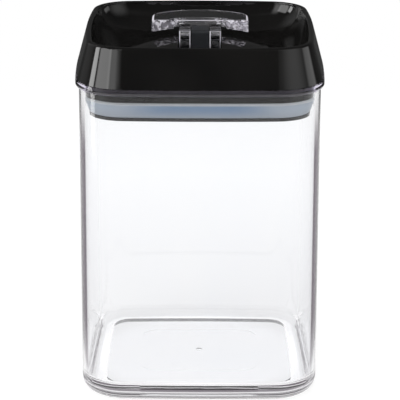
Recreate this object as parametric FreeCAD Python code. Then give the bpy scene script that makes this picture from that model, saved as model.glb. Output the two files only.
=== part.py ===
import FreeCAD
import Part
import math
import os

# Container
BODY_WIDTH = 116.0  # across two opposite sides, at their middles
BODY_HEIGHT = 156.0  # foot to rim face
SIDE_BOW_RADIUS = 780.0  # plan radius of each gently bowed side
CORNER_RADIUS = 22.0  # plan radius of the outside corners
WALL = 2.5
FLOOR = 5.7
FOOT_RECESS = 2.3  # the underside stands this far off the table
FOOT_EDGE = 7.2  # rounding of the outside bottom edge
FOOT_FLAT = 3.6  # flat width of the foot ring
FOOT_SLOPE = 1.2  # the recess side leans in by this much
FLOOR_FILLET = 2.7  # inside, floor to wall
LIP_WIDTH = 1.7  # outside lip under the lid
LIP_HEIGHT = 3.5
MOUTH_CHAMFER = 0.7
PANEL_WIDTH = 58.0  # shallow square panel in the underside
PANEL_CORNER = 8.0
PANEL_DEPTH = 0.35
GATE_RADIUS = 1.7  # moulding gate in the middle of the panel
GATE_DEPTH = 0.5

# Lid cover
LID_HEIGHT = 18.7  # rim face to crest
LID_LEAN = 5.0  # the sides lean in by this much up to the crest
LID_BOW_RADIUS = 420.0
LID_WALL = 2.2
CREST_WIDTH = 2.4
CREST_OUTER_ROUND = 1.5
CREST_INNER_ROUND = 0.6
DISH_DEPTH = 14.0  # crest to dish floor
DISH_SIDE_MARGIN = 3.5  # dish floor round the dome, at the side middles
DISH_CORNER_MARGIN = 6.0  # dish floor round the dome, towards the corners
DISH_BOW_RADIUS = 70.0  # plan radius of the dish floor's sides
DISH_WALL = 2.0
DISH_OVERRUN = 35  # degrees that the dish's section may run on above the crest
DISH_STEP = 15  # degrees between the dish's sections
DISH_BACK_STEP = 30  # degrees between the sections of its hidden underside
BOSS_INSET = 20.0  # screw bosses, in from the body's sides
BOSS_RADIUS = 4.2
SCREW_RADIUS = 1.3
SCREW_HEAD_RADIUS = 2.8
SCREW_HEAD_HEIGHT = 1.9
SCREW_HEAD_BEVEL = 0.9
SCREW_REACH = 8.0  # screw length inside the boss

# Lever housing
DOME_RADIUS = 36.5
DOME_DROP = 6.7  # crest to dome top
DOME_CURVE = 115.0
DOME_SHOULDER = 5.0
DOME_WALL = 2.0
HOUSING_FLANGE = 2.6  # flange width under the dish floor
BAY_FLOOR_DROP = 5.0  # channel floor under the dome top

# Seal and plunger
PLUG_HEIGHT = 7.0  # rim face to the seal's top
SEAL_HEIGHT = 7.9
SEAL_TAPER = 2.1  # the seal's foot stands this far in from its lip
SEAL_WIDTH = 5.6
SEAL_LIP = 1.2  # height of the slope over the lip
PLATE_THICKNESS = 1.4
PLATE_RIM_HEIGHT = 3.6
PLATE_RIM_WIDTH = 1.6
RIB_WIDTH = 2.0
RIB_HEIGHT = 2.4
STEM_RADIUS = 4.5
SPIGOT_RADIUS = 3.0
NUT_RADIUS = 9.0
NUT_HEIGHT = 5.0
NUT_BEVEL = 1.2
NUT_FLUTES = 12
FLUTE_RADIUS = 1.4
WASHER_HEIGHT = 1.0
WASHER_RADIUS = 7.5
SPRING_RADIUS = 8.2  # to the middle of the wire
SPRING_WIRE = 1.1
SPRING_TURNS = 2
SPRING_GAP = 0.1  # at each end of the spring

# Lever
STROKE = 2.5  # the plunger drops this far while the lever lifts a quarter turn
CAM_OPEN = 6.6  # pivot to bearing pad, lever up
CAM_FLAT = 1.9  # flat behind the cam, on the pad while the lever lies down
PIVOT_DROP = 6.3  # crest to pivot, lever down
PIN_RADIUS = 1.5
PIN_CHAMFER = 0.3
LEG_WIDTH = 5.5
LEG_RISE = 4.1  # pivot to the top of a leg
NECK_RISE = 1.4  # pivot to the underside of a leg, where it runs into the grip
HEEL_DROP = 2.0  # pivot to the corner over the cam's heel
LEG_REACH = 3.7  # a leg runs this far into the grip
HEAD_WIDTH = 8.4  # plunger head, between the legs
HEAD_ROUND = 1.5
GRIP_HALF = 23.6  # half the width of the half-moon
GRIP_FRONT = 8.5  # front face of the half-moon, behind the pivot
GRIP_DEPTH = 25.5  # front face to the middle of the half-moon's back edge
GRIP_SIDE = 11.0  # straight part of the half-moon's ends
GRIP_SHOULDER = 10.0  # round from an end into the back edge
GRIP_DROP = 0.2  # crest to grip top
GRIP_EDGE = 1.4
GRIP_LIP_RISE = 2.6  # the grip's underside rises this far to its back edge
GRIP_GAP = 3.2  # grip underside over the dome
ARCH_RADIUS = 3.0  # hollow in the grip's front beside each leg
ARCH_DEPTH = 6.0
LEG_EDGE = 0.8

# Fits
WALL_GAP = 0.7  # lid plug to container wall
SEAL_GAP = 0.3  # seal lip to container wall, pressure plate to seal
SLIDE_GAP = 0.15  # stem in its guide
PIN_GAP = 0.06  # pin in the lever legs
PRESS_GAP = 0.01  # pin in the plunger head
SIDE_GAP = 0.4  # between pieces that move past each other
CAM_GAP = 0.02  # cams on the bearing pad
SEAT_GAP = 0.3  # lid pieces that are held without touching sideways
SHELF = 1.6  # thin walls inside the lid
TINY = 0.001  # two heights this close are level

V = FreeCAD.Vector
UP = V(0, 0, 1)
ALONG_X = V(1, 0, 0)
ALONG_Y = V(0, 1, 0)

BODY_HALF = BODY_WIDTH / 2
CREST_Z = BODY_HEIGHT + LID_HEIGHT
DISH_Z = CREST_Z - DISH_DEPTH
DOME_Z = CREST_Z - DOME_DROP
PIVOT_Z = CREST_Z - PIVOT_DROP
CAM_CLOSED = CAM_OPEN + STROKE
CAM_RATE = STROKE / (math.pi / 2)
PAD_Z = PIVOT_Z - CAM_CLOSED - CAM_GAP
BASE_Z = BODY_HEIGHT - PLUG_HEIGHT
SEAL_FOOT_Z = BASE_Z - SEAL_HEIGHT
PLATE_Z = SEAL_FOOT_Z - PLATE_THICKNESS
BASE_FLOOR_Z = BASE_Z + LID_WALL
HOUSING_FOOT_Z = DISH_Z - DISH_WALL - DOME_WALL
CREST_INSET = LID_LEAN - LIP_WIDTH
DISH_HALF = DOME_RADIUS + DISH_SIDE_MARGIN
DISH_DIAGONAL = DOME_RADIUS + DISH_CORNER_MARGIN
BOSS_SPREAD = BODY_HALF - BOSS_INSET
PLUG_INSET = WALL + WALL_GAP
SEAL_INSET = WALL + SEAL_GAP
SEAL_INNER_INSET = SEAL_INSET + SEAL_WIDTH
PLATE_INSET = SEAL_INSET + SEAL_TAPER
HEAD_HALF = HEAD_WIDTH / 2
LEG_INNER = HEAD_HALF + SIDE_GAP
LEG_OUTER = LEG_INNER + LEG_WIDTH
BAY_HALF = LEG_OUTER + SIDE_GAP
BAY_FRONT = -CAM_OPEN - 2 * SIDE_GAP
CAM_HEEL = CAM_RATE + CAM_FLAT
BAY_BACK = math.hypot(CAM_HEEL, CAM_CLOSED) + 2 * SIDE_GAP
CHANNEL_Z = DOME_Z - BAY_FLOOR_DROP


def corner_offset(half, corner, bow):
    """Where the corner arcs are centred, from both middle planes, so that they meet the sides smoothly."""
    reach = bow - half
    return (math.sqrt(2 * (bow - corner) ** 2 - reach**2) - reach) / 2


def plan_wire(half, corner, bow, z):
    """Square plan with bowed sides, given by half width, corner radius and side radius."""
    reach = bow - half
    offset = corner_offset(half, corner, bow)
    tilt = math.atan2(offset, offset + reach)
    edges = []
    for quarter in range(4):
        turn = FreeCAD.Rotation(UP, 90 * quarter)
        arcs = (
            (V(0, reach, z), bow, -tilt, tilt),
            (V(offset, -offset, z), corner, tilt, math.pi / 2 - tilt),
        )
        for middle, radius, start, end in arcs:
            points = []
            for angle in (start, (start + end) / 2, end):
                spot = middle + radius * V(math.sin(angle), -math.cos(angle), 0)
                points.append(turn.multVec(spot))
            edges.append(Part.Arc(*points).toShape())
    return Part.Wire(edges)


def body_plan(inset, z):
    """The container's plan, moved in by an even inset."""
    return plan_wire(BODY_HALF - inset, CORNER_RADIUS - inset, SIDE_BOW_RADIUS - inset, z)


def lid_plan(inset, z):
    """The lid's plan, a little more bowed than the container's."""
    return plan_wire(BODY_HALF - inset, CORNER_RADIUS - inset, LID_BOW_RADIUS - inset, z)


def dish_plan(half, diagonal, bow, z):
    """Square plan given by half width and by the reach to its corners."""
    root = math.sqrt(2)
    reach = bow - half
    span = bow - diagonal
    offset = (span**2 - reach**2) / (2 * reach - 2 * root * span)
    return plan_wire(half, diagonal - root * offset, bow, z)


def block(inset, low, high):
    return Part.Face(body_plan(inset, low)).extrude(V(0, 0, high - low))


def band(outer, inner, low, high):
    return block(outer, low, high).cut(block(inner, low, high))


def rod(radius, low, high, x=0.0, y=0.0):
    return Part.makeCylinder(radius, high - low, V(x, y, low), UP)


def box(x0, x1, y0, y1, z0, z1):
    return Part.makeBox(x1 - x0, y1 - y0, z1 - z0, V(x0, y0, z0))


def flat_edges(shape, z):
    """Edges that lie level at height z."""
    boxes = [(edge, edge.BoundBox) for edge in shape.Edges]
    return [edge for edge, b in boxes if abs(b.ZMin - z) < TINY and abs(b.ZMax - z) < TINY]


def turned(points):
    """Solid of revolution from (radius, z) corners; four numbers are an arc's middle and end."""
    edges = []
    last = V(points[0][0], 0, points[0][1])
    for point in list(points[1:]) + [points[0][:2]]:
        end = V(point[-2], 0, point[-1])
        if len(point) == 4:
            edges.append(Part.Arc(last, V(point[0], 0, point[1]), end).toShape())
        else:
            edges.append(Part.LineSegment(last, end).toShape())
        last = end
    return Part.Face(Part.Wire(edges)).revolve(V(0, 0, 0), UP, 360)


def container_body():
    shell = block(0, 0, BODY_HEIGHT)
    shell = shell.makeFillet(FOOT_EDGE, flat_edges(shell, 0))
    lip_z = BODY_HEIGHT - LIP_HEIGHT
    lip = block(-LIP_WIDTH, lip_z, BODY_HEIGHT)
    lip = lip.makeFillet(LIP_WIDTH, flat_edges(lip, lip_z))
    shell = shell.fuse(lip).removeSplitter()
    floor_z = FOOT_RECESS + FLOOR
    inside = block(WALL, floor_z, BODY_HEIGHT)
    inside = inside.makeFillet(FLOOR_FILLET, flat_edges(inside, floor_z))
    shell = shell.cut(inside)
    mouth_z = BODY_HEIGHT - MOUTH_CHAMFER
    mouth_plans = [body_plan(WALL, mouth_z), body_plan(WALL - MOUTH_CHAMFER, BODY_HEIGHT)]
    mouth = Part.makeLoft(mouth_plans, True, True)
    foot = FOOT_EDGE + FOOT_FLAT
    recess = Part.makeLoft([body_plan(foot, 0), body_plan(foot + FOOT_SLOPE, FOOT_RECESS)], True, True)
    panel = Part.Face(plan_wire(PANEL_WIDTH / 2, PANEL_CORNER, SIDE_BOW_RADIUS, FOOT_RECESS))
    panel = panel.extrude(V(0, 0, PANEL_DEPTH))
    gate = rod(GATE_RADIUS, FOOT_RECESS, FOOT_RECESS + PANEL_DEPTH + GATE_DEPTH)
    return shell.cut([mouth, recess, panel, gate])


def skirt_inset(height, wall):
    """Inset of the lid's leaning side at a height above the rim face."""
    return LID_LEAN * height / LID_HEIGHT - LIP_WIDTH + wall


def skirt_solid(wall, top):
    sections = [lid_plan(skirt_inset(height, wall), BODY_HEIGHT + height) for height in (0, top)]
    return Part.makeLoft(sections, True, True)


def dish_solid(wall, step, straight):
    """The dish from its rim down, its side a quarter of an ellipse; a wall makes it larger all round."""
    rim_half = BODY_HALF - CREST_INSET - CREST_WIDTH
    rim_bow = LID_BOW_RADIUS - CREST_INSET - CREST_WIDTH
    rim_corner = CORNER_RADIUS - CREST_INSET - CREST_WIDTH
    rim_diagonal = rim_corner + math.sqrt(2) * corner_offset(rim_half, rim_corner, rim_bow)
    run = rim_half - DISH_HALF
    sections = []
    for degrees in range(90, -DISH_OVERRUN, -step):
        angle = math.radians(degrees)
        share = math.cos(angle)
        slope = V(share / run, math.sin(angle) / DISH_DEPTH, 0).normalize()
        half = DISH_HALF + run * share + wall * slope.x
        diagonal = DISH_DIAGONAL + (rim_diagonal - DISH_DIAGONAL) * share + wall * slope.x
        bow = 1 / (share / rim_bow + (1 - share) / DISH_BOW_RADIUS) + wall * slope.x
        z = CREST_Z - DISH_DEPTH * math.sin(angle) - wall * slope.y
        sections.append(dish_plan(half, diagonal, bow, z))
    return Part.makeLoft(sections, True, straight)


def boss_places():
    return [(x, y) for x in (-BOSS_SPREAD, BOSS_SPREAD) for y in (-BOSS_SPREAD, BOSS_SPREAD)]


def crest_face(cover):
    """The level face on top of the lid's crest."""
    return [f for f in cover.Faces if abs(f.BoundBox.ZMin - CREST_Z) < TINY][0]


def lid_cover():
    cover = skirt_solid(0, LID_HEIGHT)
    hollow = skirt_solid(LID_WALL, LID_HEIGHT - 2 * LID_WALL)
    hollow = hollow.cut(dish_solid(DISH_WALL, DISH_BACK_STEP, True))
    cover = cover.cut(hollow)
    bosses = [rod(BOSS_RADIUS, BASE_FLOOR_Z, CREST_Z - DISH_WALL, x, y) for x, y in boss_places()]
    cover = cover.fuse(bosses)
    cover = cover.cut(dish_solid(0, DISH_STEP, False))
    opening = rod(DOME_RADIUS + SEAT_GAP, BODY_HEIGHT, CREST_Z)
    pilot_z = BASE_FLOOR_Z + SCREW_REACH + SEAT_GAP
    pilots = [rod(SCREW_RADIUS + SLIDE_GAP, BASE_Z, pilot_z, x, y) for x, y in boss_places()]
    cover = cover.cut([opening] + pilots)
    cover = cover.makeFillet(CREST_OUTER_ROUND, crest_face(cover).OuterWire.Edges)
    crest = crest_face(cover)
    inner = [e for e in crest.Edges if not any(e.isSame(o) for o in crest.OuterWire.Edges)]
    return cover.makeFillet(CREST_INNER_ROUND, inner)


def dome_profile(wall):
    """Dome from its top to its foot: a large sphere over a tight shoulder, moved in by a wall."""
    curve = DOME_CURVE - wall
    shoulder = DOME_SHOULDER - wall
    side = DOME_RADIUS - wall
    middle_z = DOME_Z - DOME_CURVE
    inner = DOME_RADIUS - DOME_SHOULDER
    rise = math.sqrt((DOME_CURVE - DOME_SHOULDER) ** 2 - inner**2)
    tilt = math.atan2(inner, rise)
    top_z = DOME_Z - wall
    crown = (curve * math.sin(tilt / 2), middle_z + curve * math.cos(tilt / 2))
    meet = (curve * math.sin(tilt), middle_z + curve * math.cos(tilt))
    half = (tilt + math.pi / 2) / 2
    roll = (inner + shoulder * math.sin(half), middle_z + rise + shoulder * math.cos(half))
    return [(0, top_z), crown + meet, roll + (side, middle_z + rise)]


def lever_housing():
    low = HOUSING_FOOT_Z
    deep = min(low, PAD_Z - SHELF)
    solid = turned([(0, deep)] + dome_profile(0) + [(DOME_RADIUS, deep)])
    flange = rod(DOME_RADIUS + HOUSING_FLANGE, low, DISH_Z - DISH_WALL)
    hollow = turned([(0, deep)] + dome_profile(DOME_WALL) + [(DOME_RADIUS - DOME_WALL, deep)])
    tower = box(
        -BAY_HALF - SHELF, BAY_HALF + SHELF, BAY_FRONT - SHELF, BAY_BACK + SHELF, PAD_Z - SHELF, CREST_Z
    )
    channel = box(-BAY_HALF - SHELF, BAY_HALF + SHELF, -DOME_RADIUS, BAY_FRONT, CHANNEL_Z - SHELF, CREST_Z)
    walls = tower.fuse(channel).common(solid)
    shell = solid.common(rod(DOME_RADIUS + DOME_WALL, low, CREST_Z)).fuse(flange).cut(hollow).fuse(walls)
    bay = box(-BAY_HALF, BAY_HALF, BAY_FRONT, BAY_BACK, PAD_Z, CREST_Z)
    path = box(-BAY_HALF, BAY_HALF, -DOME_RADIUS - DOME_WALL, BAY_FRONT, CHANNEL_Z, CREST_Z)
    guide = rod(STEM_RADIUS + SIDE_GAP, PAD_Z - 2 * SHELF, PAD_Z + SHELF)
    return shell.cut([bay, path, guide]).removeSplitter()


def lid_base():
    top = BODY_HEIGHT + SEAT_GAP + SHELF
    plate = block(PLUG_INSET, BASE_Z, BASE_FLOOR_Z)
    side = band(PLUG_INSET, PLUG_INSET + SHELF, BASE_Z, top)
    rim_z = BODY_HEIGHT + SEAT_GAP
    rim_inset = skirt_inset(top - BODY_HEIGHT, LID_WALL) + SEAT_GAP
    rim = Part.Face(lid_plan(rim_inset, rim_z)).extrude(V(0, 0, top - rim_z))
    rim = rim.cut(block(PLUG_INSET + SHELF, rim_z, top))
    ring_radius = DOME_RADIUS + HOUSING_FLANGE - SHELF
    ring = rod(ring_radius, BASE_FLOOR_Z, HOUSING_FOOT_Z)
    ring = ring.cut(rod(ring_radius - SHELF, BASE_FLOOR_Z, HOUSING_FOOT_Z))
    guide = rod(STEM_RADIUS + SLIDE_GAP + LID_WALL, BASE_FLOOR_Z, PAD_Z - SHELF)
    solid = plate.fuse([side, rim, ring, guide])
    holes = [rod(SCREW_RADIUS + SLIDE_GAP, BASE_Z, BASE_FLOOR_Z, x, y) for x, y in boss_places()]
    holes.append(rod(STEM_RADIUS + SLIDE_GAP, BASE_Z, PAD_Z))
    return solid.cut(holes).removeSplitter()


def ring_around(points):
    """Ring that follows the container's plan; the section's corners are (inset, z)."""
    reach = SIDE_BOW_RADIUS - BODY_HALF
    offset = corner_offset(BODY_HALF, CORNER_RADIUS, SIDE_BOW_RADIUS)
    tilt = math.degrees(math.atan2(offset, offset + reach))
    pieces = []
    for middle, radius, start, sweep in (
        (V(0, reach, 0), SIDE_BOW_RADIUS, -tilt, 2 * tilt),
        (V(offset, -offset, 0), CORNER_RADIUS, tilt, 90 - 2 * tilt),
    ):
        corners = [V(radius - inset, 0, z) for inset, z in points]
        face = Part.Face(Part.makePolygon(corners + corners[:1]))
        face.rotate(V(0, 0, 0), UP, start - 90)
        face.translate(middle)
        piece = face.revolve(middle, UP, sweep)
        for quarter in range(4):
            part = piece.copy()
            part.rotate(V(0, 0, 0), UP, 90 * quarter)
            pieces.append(part)
    return pieces[0].multiFuse(pieces[1:]).removeSplitter()


def seal_gasket():
    return ring_around(
        [
            (SEAL_INSET, BASE_Z - SEAL_LIP),
            (PLUG_INSET + SEAL_GAP, BASE_Z),
            (SEAL_INNER_INSET, BASE_Z),
            (SEAL_INNER_INSET, SEAL_FOOT_Z),
            (PLATE_INSET, SEAL_FOOT_Z),
        ]
    )


def pressure_plate():
    plate = block(PLATE_INSET, PLATE_Z, SEAL_FOOT_Z)
    rim_inset = SEAL_INNER_INSET + SEAL_GAP
    rim = band(rim_inset, rim_inset + PLATE_RIM_WIDTH, SEAL_FOOT_Z, SEAL_FOOT_Z + PLATE_RIM_HEIGHT)
    reach = BODY_HALF - rim_inset - PLATE_RIM_WIDTH / 2
    spring_seat = SPRING_RADIUS + SPRING_WIRE
    rib_z = SEAL_FOOT_Z + RIB_HEIGHT
    ribs = []
    for turn in (0, 90, 180, 270):
        rib = box(spring_seat, reach, -RIB_WIDTH / 2, RIB_WIDTH / 2, SEAL_FOOT_Z, rib_z)
        rib.rotate(V(0, 0, 0), UP, turn)
        ribs.append(rib)
    boss = rod(SPRING_RADIUS - SPRING_WIRE, SEAL_FOOT_Z, SEAL_FOOT_Z + SHELF)
    hole = rod(SPIGOT_RADIUS + SLIDE_GAP, PLATE_Z, SEAL_FOOT_Z + SHELF)
    return plate.fuse([rim, boss] + ribs).cut(hole).removeSplitter()


def plunger():
    shoulder = SEAL_FOOT_Z + SHELF
    head_low = PAD_Z + STROKE + 2 * SIDE_GAP
    head_high = PIVOT_Z + LEG_RISE - CAM_GAP
    head = box(-HEAD_HALF, HEAD_HALF, -CAM_OPEN + SIDE_GAP, CAM_OPEN - SIDE_GAP, head_low, head_high)
    long_edges = [e for e in flat_edges(head, head_high) if e.BoundBox.XLength > HEAD_HALF]
    head = head.makeFillet(HEAD_ROUND, long_edges)
    stem = rod(STEM_RADIUS, shoulder, head_low + SHELF)
    spigot = rod(SPIGOT_RADIUS, PLATE_Z - WASHER_HEIGHT - NUT_HEIGHT + SHELF, shoulder)
    hole = Part.makeCylinder(PIN_RADIUS + PRESS_GAP, HEAD_WIDTH, V(-HEAD_HALF, 0, PIVOT_Z), ALONG_X)
    return head.fuse([stem, spigot]).cut(hole).removeSplitter()


def pivot_pin():
    pin = Part.makeCylinder(PIN_RADIUS, 2 * LEG_OUTER, V(-LEG_OUTER, 0, PIVOT_Z), ALONG_X)
    return pin.makeChamfer(PIN_CHAMFER, [e for e in pin.Edges if e.BoundBox.XLength < TINY])


def cam_point(angle):
    """Cam outline, an involute: its reach from the pivot falls evenly as the lever lifts."""
    height = CAM_CLOSED - CAM_RATE * angle
    y = -height * math.sin(angle) + CAM_RATE * math.cos(angle)
    z = -height * math.cos(angle) - CAM_RATE * math.sin(angle)
    return V(0, y, PIVOT_Z + z)


def leg_face():
    cam = Part.BSplineCurve()
    cam.interpolate([cam_point(math.radians(degrees)) for degrees in range(0, 91, 15)])
    top = PIVOT_Z + LEG_RISE
    neck_z = PIVOT_Z + NECK_RISE
    back = GRIP_FRONT + LEG_REACH
    corners = [
        V(0, -CAM_OPEN, PIVOT_Z - CAM_RATE),
        V(0, -CAM_OPEN, top),
        V(0, back, top),
        V(0, back, neck_z),
        V(0, GRIP_FRONT, neck_z),
        V(0, CAM_OPEN, PIVOT_Z - HEEL_DROP),
        V(0, CAM_HEEL, PIVOT_Z - CAM_CLOSED),
        V(0, CAM_RATE, PIVOT_Z - CAM_CLOSED),
    ]
    lines = [Part.LineSegment(a, b).toShape() for a, b in zip(corners, corners[1:])]
    return Part.Face(Part.Wire(lines + [cam.toShape()]))


def grip_face():
    """Plan of the half-moon: straight front and ends, round shoulders, one wide arc at the back."""
    back = GRIP_FRONT + GRIP_DEPTH
    shoulder_x = GRIP_HALF - GRIP_SHOULDER
    shoulder_y = GRIP_FRONT + GRIP_SIDE
    inner_back = back - GRIP_SHOULDER
    arc_y = (inner_back**2 - shoulder_y**2 - shoulder_x**2) / (2 * (inner_back - shoulder_y))
    lean = math.atan2(shoulder_y - arc_y, shoulder_x)
    meet_x = shoulder_x + GRIP_SHOULDER * math.cos(lean)
    meet_y = shoulder_y + GRIP_SHOULDER * math.sin(lean)
    middle_x = shoulder_x + GRIP_SHOULDER * math.cos(lean / 2)
    middle_y = shoulder_y + GRIP_SHOULDER * math.sin(lean / 2)
    left_end = [V(-GRIP_HALF, GRIP_FRONT), V(-GRIP_HALF, shoulder_y)]
    ends = [V(GRIP_HALF, shoulder_y), V(GRIP_HALF, GRIP_FRONT)] + left_end
    left = Part.Arc(ends[3], V(-middle_x, middle_y), V(-meet_x, meet_y)).toShape()
    wide = Part.Arc(V(-meet_x, meet_y), V(0, back), V(meet_x, meet_y)).toShape()
    right = Part.Arc(V(meet_x, meet_y), V(middle_x, middle_y), ends[0]).toShape()
    face = Part.Face(Part.Wire([left, wide, right] + Part.makePolygon(ends).Edges))
    face.translate(V(0, 0, DISH_Z))
    return face


def lever():
    top = CREST_Z - GRIP_DROP
    grip = grip_face().extrude(V(0, 0, top - DISH_Z))
    grip = grip.makeFillet(GRIP_EDGE, flat_edges(grip, top))
    over_dome = Part.makeSphere(DOME_CURVE + GRIP_GAP, V(0, 0, DOME_Z - DOME_CURVE))
    back = GRIP_FRONT + GRIP_DEPTH
    dome_at_end = DOME_Z - (GRIP_HALF**2 + GRIP_FRONT**2) / (2 * DOME_CURVE) + GRIP_GAP
    under = Part.Face(
        Part.makePolygon(
            [
                V(-GRIP_HALF, GRIP_FRONT, DISH_Z),
                V(-GRIP_HALF, GRIP_FRONT, dome_at_end),
                V(-GRIP_HALF, back, dome_at_end + GRIP_LIP_RISE),
                V(-GRIP_HALF, back, DISH_Z),
                V(-GRIP_HALF, GRIP_FRONT, DISH_Z),
            ]
        )
    ).extrude(V(2 * GRIP_HALF, 0, 0))
    arch_z = PIVOT_Z + LEG_RISE - ARCH_RADIUS
    arches = [
        Part.makeCylinder(ARCH_RADIUS, ARCH_DEPTH, V(side, GRIP_FRONT, arch_z), ALONG_Y)
        for side in (-LEG_OUTER, LEG_OUTER)
    ]
    grip = grip.cut([over_dome, under] + arches)
    legs = []
    for side in (-LEG_OUTER, LEG_INNER):
        leg = leg_face().extrude(V(LEG_WIDTH, 0, 0))
        tall = [e for e in leg.Edges if e.BoundBox.ZMax > PIVOT_Z]
        leg = leg.makeFillet(LEG_EDGE, [e for e in tall if e.BoundBox.YMax < -CAM_OPEN + LEG_EDGE])
        leg.translate(V(side, 0, 0))
        legs.append(leg)
    hole = Part.makeCylinder(PIN_RADIUS + PIN_GAP, 2 * LEG_OUTER, V(-LEG_OUTER, 0, PIVOT_Z), ALONG_X)
    return grip.fuse(legs).cut(hole).removeSplitter()


def biarc(start, start_way, end, end_way):
    """Two arcs that meet smoothly and leave both ends along the given ways."""
    across = end - start
    both = start_way + end_way
    bend = 2 * (1 - start_way.dot(end_way))
    pull = across.dot(both)
    arm = (math.sqrt(pull**2 + bend * across.dot(across)) - pull) / bend
    knees = (start + arm * start_way, end - arm * end_way)
    joint = (knees[0] + knees[1]) / 2
    arcs = []
    for first, knee, last in ((start, knees[0], joint), (joint, knees[1], end)):
        chord_middle = (first + last) / 2
        turn = (last - first).getAngle(knee - first)
        lift = math.tan(turn / 2) / math.tan(turn)
        arcs.append(Part.Arc(first, chord_middle + lift * (knee - chord_middle), last).toShape())
    return arcs


def return_spring():
    low = SEAL_FOOT_Z + SPRING_WIRE / 2 + SPRING_GAP
    rise = SEAL_HEIGHT - SPRING_WIRE - 2 * SPRING_GAP
    steps = 2 * SPRING_TURNS
    slope = rise / (2 * math.pi * SPRING_RADIUS * SPRING_TURNS)
    points = []
    ways = []
    for step in range(steps + 1):
        turn = FreeCAD.Rotation(UP, 180 * step)
        points.append(turn.multVec(V(SPRING_RADIUS, 0, low + rise * step / steps)))
        ways.append(turn.multVec(V(0, 1, slope).normalize()))
    arcs = []
    for step in range(steps):
        arcs += biarc(points[step], ways[step], points[step + 1], ways[step + 1])
    section = Part.Wire(Part.makeCircle(SPRING_WIRE / 2, points[0], ways[0]))
    print("gap between the spring's turns", round(rise / SPRING_TURNS - SPRING_WIRE, 2))
    return Part.Wire(arcs).makePipeShell([section], True, False)


def plate_nut():
    high = PLATE_Z - WASHER_HEIGHT
    nut = rod(NUT_RADIUS, high - NUT_HEIGHT, high)
    nut = nut.makeChamfer(NUT_BEVEL, flat_edges(nut, high - NUT_HEIGHT))
    flutes = []
    for count in range(NUT_FLUTES):
        flute = rod(FLUTE_RADIUS, high - NUT_HEIGHT, high, NUT_RADIUS)
        flute.rotate(V(0, 0, 0), UP, 360 * count / NUT_FLUTES)
        flutes.append(flute)
    bore = rod(SPIGOT_RADIUS + SLIDE_GAP, high - NUT_HEIGHT + SHELF, high)
    return nut.cut(flutes + [bore])


def nut_washer():
    low = PLATE_Z - WASHER_HEIGHT
    return rod(WASHER_RADIUS, low, PLATE_Z).cut(rod(SPIGOT_RADIUS + SLIDE_GAP, low, PLATE_Z))


def base_screws():
    screws = []
    for x, y in boss_places():
        head = rod(SCREW_HEAD_RADIUS, BASE_Z - SCREW_HEAD_HEIGHT, BASE_Z, x, y)
        head = head.makeChamfer(SCREW_HEAD_BEVEL, flat_edges(head, BASE_Z - SCREW_HEAD_HEIGHT))
        screws.append(head.fuse(rod(SCREW_RADIUS, BASE_Z, BASE_FLOOR_Z + SCREW_REACH, x, y)))
    return Part.makeCompound(screws)


PIECES = (
    container_body,
    lid_cover,
    lever_housing,
    lid_base,
    seal_gasket,
    pressure_plate,
    plunger,
    pivot_pin,
    lever,
    return_spring,
    plate_nut,
    nut_washer,
    base_screws,
)

os.makedirs("parts", exist_ok=True)
for piece in PIECES:
    shape = piece()
    shape.exportStep("parts/" + piece.__name__ + ".step")
    print(piece.__name__, shape.isValid(), len(shape.Solids), round(shape.Volume, 1))
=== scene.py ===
import math

import bpy
from mathutils import Matrix, Vector


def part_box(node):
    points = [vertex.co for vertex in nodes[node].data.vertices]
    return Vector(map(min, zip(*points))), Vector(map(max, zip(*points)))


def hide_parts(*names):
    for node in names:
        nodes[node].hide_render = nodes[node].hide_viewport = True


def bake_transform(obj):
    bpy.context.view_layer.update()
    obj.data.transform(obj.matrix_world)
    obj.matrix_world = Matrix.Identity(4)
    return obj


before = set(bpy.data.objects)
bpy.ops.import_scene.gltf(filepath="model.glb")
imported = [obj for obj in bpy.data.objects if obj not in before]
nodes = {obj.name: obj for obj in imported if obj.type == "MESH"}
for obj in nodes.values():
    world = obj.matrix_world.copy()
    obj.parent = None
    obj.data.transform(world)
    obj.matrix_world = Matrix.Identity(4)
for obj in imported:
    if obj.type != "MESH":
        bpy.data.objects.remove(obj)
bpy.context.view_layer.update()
scene = bpy.context.scene
scene.view_settings.view_transform = "Standard"
scene.cycles.max_bounces = 32
scene.cycles.glossy_bounces = 20
scene.cycles.transmission_bounces = 28

# Container, in metres
PLAN_HALF = 0.058  # half the width, at the middle of a side
PLAN_CORNER = 0.022  # plan radius of the corners
PLAN_BOW = 0.78  # plan radius of the bowed sides
LIP_FOOT = 0.1515  # height where the lip's painted mauve highlight tint begins
LIP_BLEND = 0.0015  # height over which it comes in

# Soft seal; insets count from the container's outside
SEAL_INSET = 0.0028
SEAL_WIDTH = 0.0056
SEAL_TAPER = 0.0021  # the foot stands this far in from the lip
SEAL_LIP = 0.0012  # depth of the lip under the top
SEAL_SLOPE = 0.0006  # from the lip up to the top the side runs in by this much
SEAL_EASE = 0.0001  # kept off the top and the bottom of the CAD seal
SEAL_ROUNDS = (0.0006, 0.0004, 0.0006, 0.0006, 0.0008)
SEAL_CORNER_HIGHLIGHT = (0.056, 0.066)  # distance from the middle over which the corners turn paler, a painted highlight
SEAL_BEAD_HIGHLIGHT = (0.0016, 0.0009)  # depths under the top where the painted highlight along the top bead starts and is full
SEAL_FOOT = (0.0051, -0.0006)  # heights where the pale foot starts and would be full

# Return spring
SPRING_RADIUS = 0.0082  # to the middle of the wire
SPRING_WIRE = 0.00055  # radius of the wire
SPRING_TURNS = 2

# Lever
LEGS_OUTER = 0.0100  # about half the width over both legs
WINGS_INNER = 0.0114  # the wing fronts carry mottled painted highlights from here on

# Camera, fitted to the photo's outline
CAMERA_PLACE = (0, -1.06818, 0.41127)
CAMERA_TARGET = (0, 0, 0.085135)
CAMERA_ROLL = 0.18  # degrees
CAMERA_LENS = 202.41  # focal length in millimetres
CAMERA_SHIFT = 0.0012  # share of the frame's width

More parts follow.
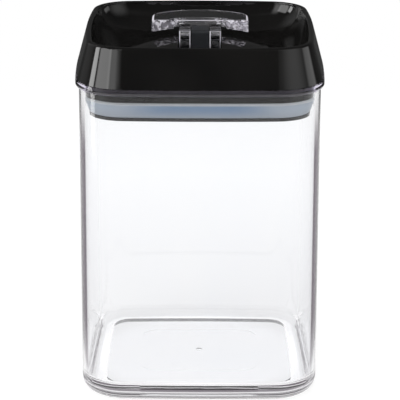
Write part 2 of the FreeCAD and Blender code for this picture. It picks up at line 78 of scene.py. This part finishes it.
# Soft boxes of the studio, as the gloss sees them: azimuth, elevation, width and height in degrees,
# soft edge as a share of the half size, brightness. Azimuth 0 is the photo's front; right is positive.
SOFT_BOXES = (
    (-88, 6, 14, 44, 0.15, 6.5),
    (-59, 14, 34, 52, 0.18, 3.6),
    (-33, 22, 20, 50, 0.7, 2.0),
    (54, 20, 50, 60, 0.9, 0.9),
    (102, 4, 26, 30, 0.4, 1.3),
    (-122, 24, 40, 50, 0.6, 0.3),
)
ROOM = 0.06  # brightness of the room between the soft boxes
ROOM_IN_CLEAR = 1.2  # the room's share as seen through one clear wall
WHITE_BEHIND = 0.95  # brightness seen through both walls
ALL_AROUND = 0.5  # light on dull surfaces from all sides
BOTH_WALLS = (2.5, 3.5)  # a ray with more crossings than this has passed two walls
HORIZON = (0.02, 0.08)  # below it, what is seen through clear plastic is white

# Lamps: name, azimuth, elevation, size in metres, radiance
LAMPS = (
    ("key_left", -45, 35, 0.9, 3.0),
    ("fill_right", 50, 25, 0.9, 1.0),
    ("top", 0, 80, 0.8, 1.6),
)
LAMP_DISTANCE = 1.3
LAMP_TARGET = Vector((0, 0, 0.1))

# Table and card, in metres
TABLE_RADIUS = 0.6
TABLE_RINGS = 12
TABLE_SPOKES = 96
TABLE_UNDER = (0.045, 0.06)  # painted light, seen through clear plastic within this distance, under the container
TABLE_BRIGHTER = (0.1, 0.45)  # painted shade seen through clear plastic near the container, brightening over this distance
TABLE_DIM_NEAR = (0.072, 0.09)  # two steps of painted shade that dim it for light turned round in one wall
TABLE_DIM_FAR = (0.09, 0.13)
TABLE_FADE = 0.7  # share of the radius where the table starts to fade out
CARD_HEIGHT = 0.163  # a little under the lid's top
CARD_INNER = 0.09
CARD_OUTER = 0.7
CARD_SPOKES = 64


class Wire:
    """A socket of a finish; arithmetic on it adds Math nodes."""

    def __init__(self, finish, socket):
        self.finish = finish
        self.socket = socket

    def math(self, operation, *values):
        return self.finish.node("ShaderNodeMath", {"operation": operation}, *values)

    def __add__(self, other):
        return self.math("ADD", self, other)

    def __radd__(self, other):
        return self.math("ADD", other, self)

    def __sub__(self, other):
        return self.math("SUBTRACT", self, other)

    def __rsub__(self, other):
        return self.math("SUBTRACT", other, self)

    def __mul__(self, other):
        return self.math("MULTIPLY", self, other)

    def __rmul__(self, other):
        return self.math("MULTIPLY", other, self)

    def __truediv__(self, other):
        return self.math("DIVIDE", self, other)

    def __rtruediv__(self, other):
        return self.math("DIVIDE", other, self)

    def __abs__(self):
        return self.math("ABSOLUTE", self)

    def squared(self):
        return self * self

    def clamp(self):
        return self.finish.node("ShaderNodeClamp", {}, self)

    def step(self, low, high):
        """0 at low, 1 at high, smooth between and level beyond; low may be the larger one."""
        return self.finish.node(
            "ShaderNodeMapRange", {"interpolation_type": "SMOOTHSTEP"}, self, low, high, 0.0, 1.0
        )


class Finish:
    """The node tree of a material or of the surroundings."""

    def __init__(self, owner):
        owner.use_nodes = True
        self.owner = owner
        self.tree = owner.node_tree
        self.tree.nodes.clear()

    def node(self, kind, settings, *values, out=None, **named):
        """Add a node with its settings, fill its sockets in order or by name, and hand back one output."""
        node = self.tree.nodes.new(kind)
        for key, value in settings.items():
            setattr(node, key, value)
        shown = [s for s in node.inputs if s.enabled]
        pairs = list(zip(shown, values))
        for name, value in named.items():
            pairs.append((next(s for s in shown if s.name == name.replace("_", " ")), value))
        for socket, value in pairs:
            if isinstance(value, Wire):
                self.tree.links.new(value.socket, socket)
            elif value is not None:
                socket.default_value = value
        outputs = [s for s in node.outputs if s.enabled and out in (None, s.name)]
        return Wire(self, outputs[0]) if outputs else None

    def coordinate(self, out):
        return self.node("ShaderNodeTexCoord", {}, out=out)

    def light_path(self, out):
        return self.node("ShaderNodeLightPath", {}, out=out)

    def noise(self, scale, detail, roughness, place=None):
        place = place or self.coordinate("Object")
        return self.node("ShaderNodeTexNoise", {}, place, Scale=scale, Detail=detail, Roughness=roughness)

    def times(self, vector, factors):
        return self.node("ShaderNodeVectorMath", {"operation": "MULTIPLY"}, vector, factors)

    def measure(self, operation, *vectors):
        """A number from vectors: their length, distance or dot product."""
        return self.node("ShaderNodeVectorMath", {"operation": operation}, *vectors, out="Value")

    def part(self, vector, axis):
        return self.node("ShaderNodeSeparateXYZ", {}, vector, out=axis)

    def mix(self, share, *colours):
        colours = [c if isinstance(c, Wire) else (*c, 1) for c in colours]
        return self.node("ShaderNodeMix", {"data_type": "RGBA"}, share, *colours, out="Result")

    def bump(self, height, strength, distance):
        return self.node("ShaderNodeBump", {}, Strength=strength, Distance=distance, Height=height)

    def principled(self, **named):
        return self.node("ShaderNodeBsdfPrincipled", {}, **named)

    def absorption(self, colour, density):
        return self.node("ShaderNodeVolumeAbsorption", {}, (*colour, 1), density)

    def surface(self, shader, volume=None):
        world = isinstance(self.owner, bpy.types.World)
        kind = "ShaderNodeOutputWorld" if world else "ShaderNodeOutputMaterial"
        self.node(kind, {}, Surface=shader, Volume=volume)
        return self.owner


def finish(name):
    return Finish(bpy.data.materials.new(name))


# Finishes


def melt_flow(f):
    """Slow waves in moulded clear plastic, drawn out upwards."""
    return f.noise(24.0, 3.0, 0.5, f.times(f.coordinate("Object"), (1.0, 1.0, 0.35)))


def polished_clear(f, colour, waves):
    """Polished clear plastic, very slightly rubbed."""
    rub = f.noise(900.0, 4.0, 0.6)
    return f.principled(
        Base_Color=colour,
        Roughness=0.012 + 0.02 * rub.step(0.5, 0.8),
        IOR=1.5,
        Transmission_Weight=1.0,
        Normal=f.bump(waves, 0.6, 0.0006),
    )


def clear_wall():
    """The container's clear plastic; long ways through it turn dark, and its lip has a faint painted mauve
    highlight tint.
    """
    f = finish("clear_wall")
    flow = melt_flow(f)
    height = f.part(f.coordinate("Object"), "Z")
    colour = f.mix(flow.step(0.35, 0.65), (0.982, 0.986, 0.992), (0.974, 0.980, 0.990))
    # painted highlight: a faint mauve tint on the lip
    colour = f.mix(height.step(LIP_FOOT, LIP_FOOT + LIP_BLEND), colour, (0.86, 0.82, 0.95))
    return f.surface(polished_clear(f, colour, 0.1 * flow), f.absorption((0.36, 0.30, 0.36), 3.0))


def clear_lever():
    """Thick clear plastic with wavy upright faces; painted highlights, a whitish diffuse mixed in, lie on
    the leg edges, the knees and in mottles on the wing fronts.
    """
    f = finish("clear_lever")
    flow = melt_flow(f)
    swirl = f.noise(380.0, 3.0, 0.55)
    glint_mottle = f.noise(560.0, 3.0, 0.6).step(0.47, 0.6)
    facing = f.coordinate("Normal")
    upright = f.part(facing, "Z").step(0.9, 0.4)
    lean = f.part(facing, "X").squared()
    rims = lean.step(0.04, 0.2) * (1 - lean.step(0.9, 0.99))
    aside = f.part(f.coordinate("Object"), "X").squared().step(LEGS_OUTER**2, WINGS_INNER**2)
    wings = aside * f.part(facing, "Y").step(-0.3, -0.8)
    tip = f.part(facing, "Y").squared()
    knees = (1 - aside) * tip.step(0.22, 0.32) * (1 - tip.step(0.5, 0.62))
    colour = f.mix(flow.step(0.35, 0.65), (0.985, 0.985, 0.995), (0.97, 0.97, 0.99))
    clear = polished_clear(f, colour, 0.1 * flow + upright * swirl)
    # painted highlight: a whitish diffuse mixed into the clear plastic on leg edges, knees and wing fronts
    glint = f.node("ShaderNodeBsdfDiffuse", {}, (0.95, 0.92, 1.0, 1))
    share = (rims + 0.7 * knees + 0.85 * wings * glint_mottle).clamp()
    shader = f.node("ShaderNodeMixShader", {}, share, clear, glint)
    return f.surface(shader, f.absorption((0.5, 0.4, 0.6), 4.0))


def black_gloss(name, shine):
    """High-gloss black moulding, with the faint waviness of a moulded face."""
    f = finish(name)
    wave = f.noise(38.0, 2.0, 0.4)
    haze = f.noise(420.0, 4.0, 0.6)
    dust = f.noise(2600.0, 2.0, 0.7).step(0.72, 0.8)
    shader = f.principled(
        Base_Color=f.mix(wave.step(0.3, 0.7), (0.0055, 0.0053, 0.0052), (0.0085, 0.0081, 0.0077)),
        Roughness=0.045 + 0.03 * haze + 0.12 * dust,
        IOR=1.5,
        Specular_IOR_Level=shine,
        Normal=f.bump(wave, 0.05, 0.0004),
    )
    return f.surface(shader)


def inner_satin(name, low, high, roughness):
    """Satin black moulding of the inside pieces, finely grained."""
    f = finish(name)
    grain = f.noise(3200.0, 3.0, 0.6)
    cloud = f.noise(60.0, 3.0, 0.5)
    shader = f.principled(
        Base_Color=f.mix(cloud.step(0.3, 0.7), low, high),
        Roughness=roughness + 0.12 * grain,
        IOR=1.5,
        Normal=f.bump(grain, 0.12, 0.00006),
    )
    return f.surface(shader)


def seal_silicone():
    """Soft blue-grey silicone with fine mould haze, with painted highlights on its top bead and its
    corners, and paler at its foot.
    """
    f = finish("seal_silicone_blue")
    low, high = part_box("seal_gasket")
    size = high - low
    spot = f.times(f.coordinate("Generated"), size)
    flat = f.times(spot, (1.0, 1.0, 0.0))
    out = f.measure("DISTANCE", flat, (size.x / 2, size.y / 2, 0.0))
    height = f.part(spot, "Z")
    cloud = f.noise(55.0, 3.0, 0.55, spot)
    grain = f.noise(2400.0, 3.0, 0.6, spot)
    colour = f.mix(cloud.step(0.25, 0.75), (0.27, 0.40, 0.60), (0.33, 0.46, 0.65))
    # painted highlight along the top bead
    bead = height.step(*(size.z - depth for depth in SEAL_BEAD_HIGHLIGHT))
    # painted highlight on the corners
    colour = f.mix(out.step(*SEAL_CORNER_HIGHLIGHT), colour, (0.58, 0.66, 0.76))
    colour = f.mix(bead, colour, (0.80, 0.84, 0.88))
    shader = f.principled(
        Base_Color=f.mix(height.step(*SEAL_FOOT), colour, (0.54, 0.59, 0.66)),
        Roughness=0.34 + 0.16 * grain,
        IOR=1.41,
        Normal=f.bump(grain, 0.1, 0.00008),
    )
    return f.surface(shader)


def drawn_steel():
    """Bright drawn wire and screw steel with fine draw lines."""
    f = finish("drawn_steel")
    lines = f.noise(600.0, 4.0, 0.7, f.times(f.coordinate("Object"), (1.0, 1.0, 9.0)))
    shader = f.principled(
        Base_Color=f.mix(lines, (0.46, 0.45, 0.44), (0.66, 0.65, 0.63)),
        Roughness=0.22 + 0.2 * lines,
        Metallic=1.0,
        Normal=f.bump(lines, 0.1, 0.00005),
    )
    return f.surface(shader)


# Studio


def direction(azimuth, elevation):
    """The way to a place in the studio, from angles in degrees."""
    a = math.radians(azimuth)
    e = math.radians(elevation)
    return Vector((math.sin(a) * math.cos(e), -math.cos(a) * math.cos(e), math.sin(e)))


def white_table():
    """White table with the object's own shadow. Seen through clear plastic it carries painted shade, a
    little darker near the container and dim for light turned round within one clear wall, and painted light
    right under the container.
    """
    f = finish("white_table")
    dull = f.light_path("Is Diffuse Ray")
    through = f.light_path("Is Transmission Ray")
    deep = f.light_path("Transmission Depth").step(*BOTH_WALLS)
    turned = f.light_path("Glossy Depth").clamp() * (1 - deep)
    away = f.measure("LENGTH", f.node("ShaderNodeNewGeometry", {}, out="Position"))
    # painted light under the container, seen through clear plastic
    under = 1 - away.step(*TABLE_UNDER)
    # painted shade near the container, seen through clear plastic
    level = 0.92 + 0.1 * away.step(*TABLE_BRIGHTER)
    # painted shade, dark mauve, for light turned round within one clear wall
    dim = turned * (0.75 * away.step(*TABLE_DIM_NEAR) + 0.25 * away.step(*TABLE_DIM_FAR))
    bright = 1 - through * (1 - level * (1 - dim))
    shade = f.mix(bright, (0.10, 0.075, 0.10), (1, 1, 1))
    shade = f.mix(through * under, shade, (1.05, 1.05, 1.06))
    tone = f.mix(dull, f.mix(0.3, (0, 0, 0), shade), (0.8, 0.8, 0.8))
    paper = f.node("ShaderNodeBsdfDiffuse", {}, tone)
    glow = f.node("ShaderNodeEmission", {}, shade, 0.85 * (1 - dull))
    lit = f.node("ShaderNodeAddShader", {}, glow, paper)
    gone = f.node("ShaderNodeBsdfTransparent", {})
    f.owner.cycles.emission_sampling = "NONE"
    edge = away.step(TABLE_FADE * TABLE_RADIUS, TABLE_RADIUS)
    return f.surface(f.node("ShaderNodeMixShader", {}, edge, lit, gone))


def white_card():
    f = finish("white_card")
    f.owner.cycles.emission_sampling = "NONE"
    return f.surface(f.node("ShaderNodeEmission", {}, (1, 1, 1, 1), 1.0))


def soft_box(f, way, azimuth, elevation, width, height, soft, brightness):
    """A panel of light in one direction, with soft edges."""
    ahead = direction(azimuth, elevation)
    side = direction(azimuth + 90, 0)
    depth = f.measure("DOT_PRODUCT", way, ahead)
    light = brightness * depth.step(0.0, 0.05)
    for axis, size in ((side, width), (side.cross(ahead), height)):
        half = math.tan(math.radians(size / 2))
        off = abs(f.measure("DOT_PRODUCT", way, axis) / depth)
        light = light * (1 - off.step(half * (1 - soft), half * (1 + soft)))
    return light


def studio_world():
    """White for the camera and through clear pieces; a dim room with soft boxes for gloss and the lever."""
    f = Finish(bpy.data.worlds.new("studio"))
    camera = f.light_path("Is Camera Ray")
    through = f.light_path("Is Transmission Ray")
    glossy = f.light_path("Is Glossy Ray")
    deep = f.light_path("Transmission Depth").step(*BOTH_WALLS)
    way = f.coordinate("Generated")
    room = ROOM
    for box in SOFT_BOXES:
        room = room + soft_box(f, way, *box)
    up = f.part(way, "Z").step(*HORIZON)
    clear = 1 - up + up * (WHITE_BEHIND * deep + (1 - deep) * ROOM_IN_CLEAR * room)
    other = ALL_AROUND * (1 - glossy) + glossy * room
    strength = camera + (1 - camera) * (through * clear + (1 - through) * other)
    scene.world = f.surface(f.node("ShaderNodeBackground", {}, (1, 1, 1, 1), strength))
    scene.world.cycles.sampling_method = "NONE"


# Meshes


def new_object(name, data):
    thing = bpy.data.objects.new(name, data)
    scene.collection.objects.link(thing)
    return thing


def new_piece(name, verts, faces, material, smooth=True):
    mesh = bpy.data.meshes.new(name)
    mesh.from_pydata([tuple(v) for v in verts], [], faces)
    mesh.update()
    for polygon in mesh.polygons:
        polygon.use_smooth = smooth
    mesh.materials.append(material)
    return new_object(name, mesh)


def band(row, other, count):
    """Faces between two closed rows of points, each given by its first point's number."""
    turns = [(k, (k + 1) % count) for k in range(count)]
    return [(row + k, row + n, other + n, other + k) for k, n in turns]


def dress(material, *names):
    for name in names:
        mesh = nodes[name].data
        mesh.materials.clear()
        mesh.materials.append(material)


def plan_ring(inset, side_steps=24, corner_steps=20):
    """Points around the container's bowed square plan, moved in by an inset."""
    reach = PLAN_BOW - PLAN_HALF
    offset = (math.sqrt(2 * (PLAN_BOW - PLAN_CORNER) ** 2 - reach**2) - reach) / 2
    tilt = math.atan2(offset, offset + reach)
    spots = []
    for quarter in range(4):
        turn = Matrix.Rotation(math.pi / 2 * quarter, 3, "Z")
        for middle, radius, start, end, steps in (
            (Vector((0, reach, 0)), PLAN_BOW, -tilt, tilt, side_steps),
            (Vector((offset, -offset, 0)), PLAN_CORNER, tilt, math.pi / 2 - tilt, corner_steps),
        ):
            for step in range(steps):
                angle = start + (end - start) * step / steps
                way = Vector((math.sin(angle), -math.cos(angle), 0))
                spots.append(turn @ (middle + (radius - inset) * way))
    return spots


def swept_ring(name, section, material):
    """Ring around the container's plan; the section is a closed row of (inset, height)."""
    rows = [[(p.x, p.y, z) for p in plan_ring(inset)] for inset, z in section]
    count = len(rows[0])
    starts = [i * count for i in range(len(rows))]
    faces = []
    for row, other in zip(starts, starts[1:] + starts[:1]):
        faces += band(row, other, count)
    return new_piece(name, [p for row in rows for p in row], faces, material)


def rounded(corners, radii, steps=5):
    """A closed outline with its corners rounded off."""
    outline = []
    for i, corner in enumerate(corners):
        here = Vector(corner)
        before = Vector(corners[i - 1]) - here
        after = Vector(corners[(i + 1) % len(corners)]) - here
        reach = min(radii[i], 0.45 * before.length, 0.45 * after.length)
        a = here + before.normalized() * reach
        b = here + after.normalized() * reach
        for step in range(steps + 1):
            t = step / steps
            outline.append(((1 - t) ** 2 * a + 2 * t * (1 - t) * here + t * t * b).to_tuple())
    return outline


def make_seal(material):
    low, high = (corner.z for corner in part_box("seal_gasket"))
    corners = [
        (SEAL_INSET, high - SEAL_LIP),
        (SEAL_INSET + SEAL_SLOPE, high - SEAL_EASE),
        (SEAL_INSET + SEAL_WIDTH, high - SEAL_EASE),
        (SEAL_INSET + SEAL_WIDTH, low + SEAL_EASE),
        (SEAL_INSET + SEAL_TAPER, low + SEAL_EASE),
    ]
    seal = swept_ring("soft_seal", rounded(corners, SEAL_ROUNDS), material)
    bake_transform(seal)
    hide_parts("seal_gasket")


def make_spring(material, around=16, turn_steps=64):
    low, high = (corner.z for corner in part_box("return_spring"))
    steps = SPRING_TURNS * turn_steps
    rise = (high - low - 2 * SPRING_WIRE) / steps
    verts = []
    faces = [tuple(range(around))]
    for step in range(steps + 1):
        angle = 2 * math.pi * step / turn_steps
        out = Vector((math.cos(angle), math.sin(angle), 0))
        middle = SPRING_RADIUS * out + Vector((0, 0, low + SPRING_WIRE + rise * step))
        for k in range(around):
            lean = 2 * math.pi * k / around
            verts.append(middle + SPRING_WIRE * (math.cos(lean) * out + math.sin(lean) * Vector((0, 0, 1))))
        if step:
            faces += band(step * around, (step - 1) * around, around)
    faces.append(tuple(steps * around + k for k in reversed(range(around))))
    spring = new_piece("wound_spring", verts, faces, material)
    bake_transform(spring)
    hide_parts("return_spring")


# Camera, light and table


def aim(thing, place, target, roll=0.0):
    way = (Vector(target) - Vector(place)).normalized()
    turn = way.to_track_quat("-Z", "Y").to_matrix().to_4x4()
    thing.matrix_world = Matrix.Translation(place) @ turn @ Matrix.Rotation(roll, 4, "Z")


def make_camera():
    lens = bpy.data.cameras.new("photo_camera")
    lens.sensor_width = 36.0
    lens.lens = CAMERA_LENS
    lens.shift_x = CAMERA_SHIFT
    lens.clip_start = 0.05
    camera = new_object("photo_camera", lens)
    aim(camera, CAMERA_PLACE, CAMERA_TARGET, math.radians(CAMERA_ROLL))
    scene.camera = camera


def make_lamp(name, azimuth, elevation, size, radiance):
    """A large soft lamp for the dull surfaces; the gloss sees the studio's soft boxes instead."""
    light = bpy.data.lights.new(name, "AREA")
    light.shape = "DISK"
    light.size = size
    light.energy = radiance * math.pi * math.pi * size * size / 4
    lamp = new_object(name, light)
    lamp.visible_glossy = False
    lamp.visible_transmission = False
    aim(lamp, LAMP_TARGET + LAMP_DISTANCE * direction(azimuth, elevation), LAMP_TARGET)


def circle(radius, height, spokes):
    angles = [2 * math.pi * spoke / spokes for spoke in range(spokes)]
    return [(radius * math.cos(a), radius * math.sin(a), height) for a in angles]


def make_table():
    verts = [(0, 0, 0)]
    faces = [(0, 1 + k, 1 + (k + 1) % TABLE_SPOKES) for k in range(TABLE_SPOKES)]
    for ring in range(TABLE_RINGS):
        start = len(verts)
        verts += circle(TABLE_RADIUS * (ring + 1) / TABLE_RINGS, 0, TABLE_SPOKES)
        if ring:
            faces += band(start, start - TABLE_SPOKES, TABLE_SPOKES)
    new_piece("table", verts, faces, white_table(), smooth=False)


def make_card():
    """A level white ring around the lid, to be seen only through the clear plastic."""
    verts = [v for radius in (CARD_INNER, CARD_OUTER) for v in circle(radius, CARD_HEIGHT, CARD_SPOKES)]
    card = new_piece("card", verts, band(0, CARD_SPOKES, CARD_SPOKES), white_card(), smooth=False)
    card.visible_camera = False
    card.visible_diffuse = False
    card.visible_glossy = False
    card.visible_shadow = False


make_camera()
studio_world()
make_table()
make_card()
for lamp_values in LAMPS:
    make_lamp(*lamp_values)

steel = drawn_steel()
nut_satin = inner_satin("inner_satin_black", (0.008, 0.008, 0.009), (0.013, 0.013, 0.015), 0.14)
head_satin = inner_satin("plunger_satin_black", (0.022, 0.024, 0.027), (0.032, 0.034, 0.038), 0.3)
silicone = seal_silicone()
lid_gloss = black_gloss("lid_gloss_black", 0.5)
plug_gloss = black_gloss("plug_gloss_black", 0.12)
dress(clear_wall(), "container_body")
dress(clear_lever(), "lever")
dress(lid_gloss, "lid_cover", "lever_housing", "pressure_plate", "pivot_pin")
dress(plug_gloss, "lid_base")
dress(nut_satin, "plate_nut")
dress(head_satin, "plunger")
dress(silicone, "nut_washer")
dress(steel, "base_screws")
make_seal(silicone)
make_spring(steel)
